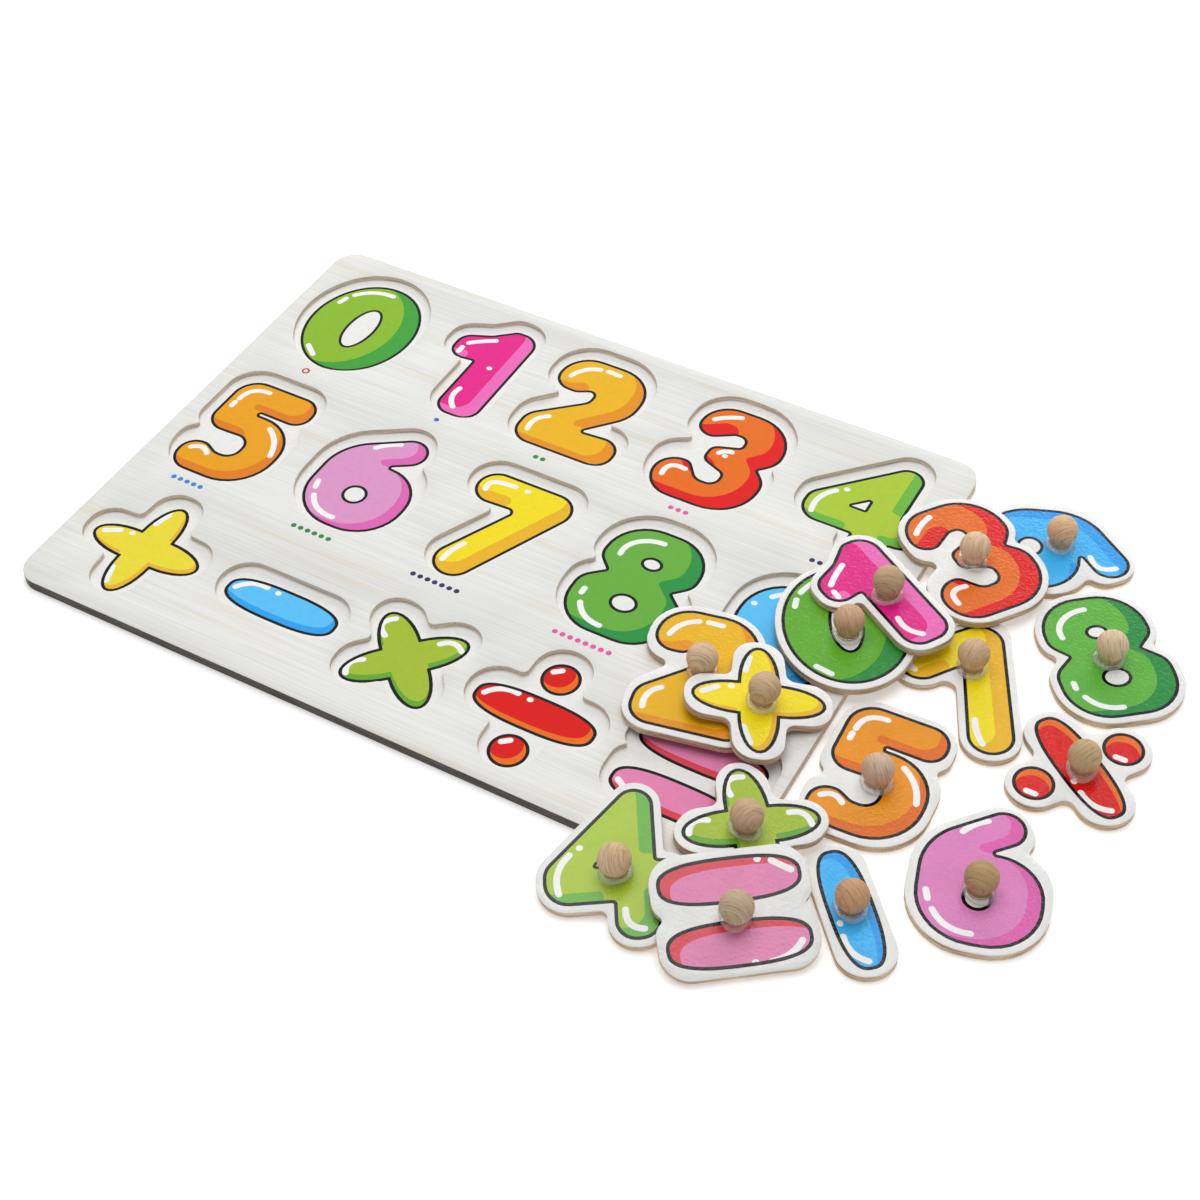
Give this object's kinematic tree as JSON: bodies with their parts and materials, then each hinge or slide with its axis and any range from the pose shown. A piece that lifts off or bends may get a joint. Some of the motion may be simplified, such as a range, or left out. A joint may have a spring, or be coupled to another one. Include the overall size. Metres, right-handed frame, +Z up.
{
  "type": "number peg puzzle",
  "caption": "Flat wooden board with shaped recesses and loose printed number and sign plates, each with a round wooden lifting knob, lying in a pile over one corner of the board.",
  "frame": {"origin": "middle of the board's underside, on the table", "axes": "+X along the rows of figures towards the right hand side, +Y to the back edge above the figures, +Z up"},
  "size_m": [0.4065, 0.2623, 0.0242],
  "materials": {
    "board_sheet": "pale plywood with a thin white wash",
    "board_backing": "white printed board",
    "knob_wood": "smooth turned beech",
    "glue": "clear gloss",
    "zero_print": "glossy printed plywood",
    "one_print": "glossy printed plywood",
    "two_print": "glossy printed plywood",
    "three_print": "glossy printed plywood",
    "four_print": "glossy printed plywood",
    "five_print": "glossy printed plywood",
    "six_print": "glossy printed plywood",
    "seven_print": "glossy printed plywood",
    "eight_print": "glossy printed plywood",
    "nine_print": "glossy printed plywood",
    "plus_print": "glossy printed plywood",
    "minus_print": "glossy printed plywood",
    "times_print": "glossy printed plywood",
    "divide_print": "glossy printed plywood",
    "equals_print": "glossy printed plywood"
  },
  "bodies": {
    "board": {"board_frame": "board_sheet", "board_back": "board_backing"},
    "zero": {"zero_plate": "zero_print", "zero_knob": "knob_wood", "zero_glue": "glue"},
    "one": {"one_plate": "one_print", "one_knob": "knob_wood", "one_glue": "glue"},
    "two": {"two_plate": "two_print", "two_knob": "knob_wood", "two_glue": "glue"},
    "three": {"three_plate": "three_print", "three_knob": "knob_wood", "three_glue": "glue"},
    "four": {"four_plate": "four_print", "four_knob": "knob_wood", "four_glue": "glue"},
    "five": {"five_plate": "five_print", "five_knob": "knob_wood", "five_glue": "glue"},
    "six": {"six_plate": "six_print", "six_knob": "knob_wood", "six_glue": "glue"},
    "seven": {"seven_plate": "seven_print", "seven_knob": "knob_wood", "seven_glue": "glue"},
    "eight": {"eight_plate": "eight_print", "eight_knob": "knob_wood", "eight_glue": "glue"},
    "nine": {"nine_plate": "nine_print", "nine_knob": "knob_wood", "nine_glue": "glue"},
    "plus": {"plus_plate": "plus_print", "plus_knob": "knob_wood", "plus_glue": "glue"},
    "minus": {"minus_plate": "minus_print", "minus_knob": "knob_wood", "minus_glue": "glue"},
    "times": {"times_plate": "times_print", "times_knob": "knob_wood", "times_glue": "glue"},
    "divide": {"divide_plate": "divide_print", "divide_knob": "knob_wood", "divide_glue": "glue"},
    "equals": {"equals_plate": "equals_print", "equals_knob": "knob_wood", "equals_glue": "glue"}
  },
  "joints": [
    {"name": "seven_lift", "type": "slide", "parent": "board", "child": "seven", "axis": [0, 0, 1], "range_m": [0, 0.06]},
    {"name": "zero_lift", "type": "slide", "parent": "seven", "child": "zero", "axis": [0, 0, 1], "range_m": [0, 0.06]},
    {"name": "one_lift", "type": "slide", "parent": "zero", "child": "one", "axis": [0, 0, 1], "range_m": [0, 0.06]},
    {"name": "three_lift", "type": "slide", "parent": "seven", "child": "three", "axis": [0, 0, 1], "range_m": [0, 0.06]},
    {"name": "nine_slide_out", "type": "slide", "parent": "board", "child": "nine", "axis": [0.5, 0.866, 0], "range_m": [0, 0.06]},
    {"name": "two_lift", "type": "slide", "parent": "board", "child": "two", "axis": [0, 0, 1], "range_m": [0, 0.06]},
    {"name": "plus_lift", "type": "slide", "parent": "two", "child": "plus", "axis": [0.27, 0, 0.9629], "range_m": [0, 0.04]},
    {"name": "five_lift", "type": "slide", "parent": "board", "child": "five", "axis": [0, 0, 1], "range_m": [0, 0.06]},
    {"name": "times_lift", "type": "slide", "parent": "five", "child": "times", "axis": [0, 0, 1], "range_m": [0, 0.06]},
    {"name": "equals_lift", "type": "slide", "parent": "times", "child": "equals", "axis": [0, 0, 1], "range_m": [0, 0.06]},
    {"name": "four_slide_out", "type": "slide", "parent": "board", "child": "four", "axis": [-1, 0, 0], "range_m": [0, 0.06]},
    {"name": "minus_lift", "type": "slide", "parent": "board", "child": "minus", "axis": [0, 0, 1], "range_m": [0, 0.06]},
    {"name": "six_lift", "type": "slide", "parent": "board", "child": "six", "axis": [0, 0, 1], "range_m": [0, 0.06]},
    {"name": "divide_lift", "type": "slide", "parent": "board", "child": "divide", "axis": [0, 0, 1], "range_m": [0, 0.06]},
    {"name": "eight_lift", "type": "slide", "parent": "board", "child": "eight", "axis": [0, 0, 1], "range_m": [0, 0.06]}
  ]
}
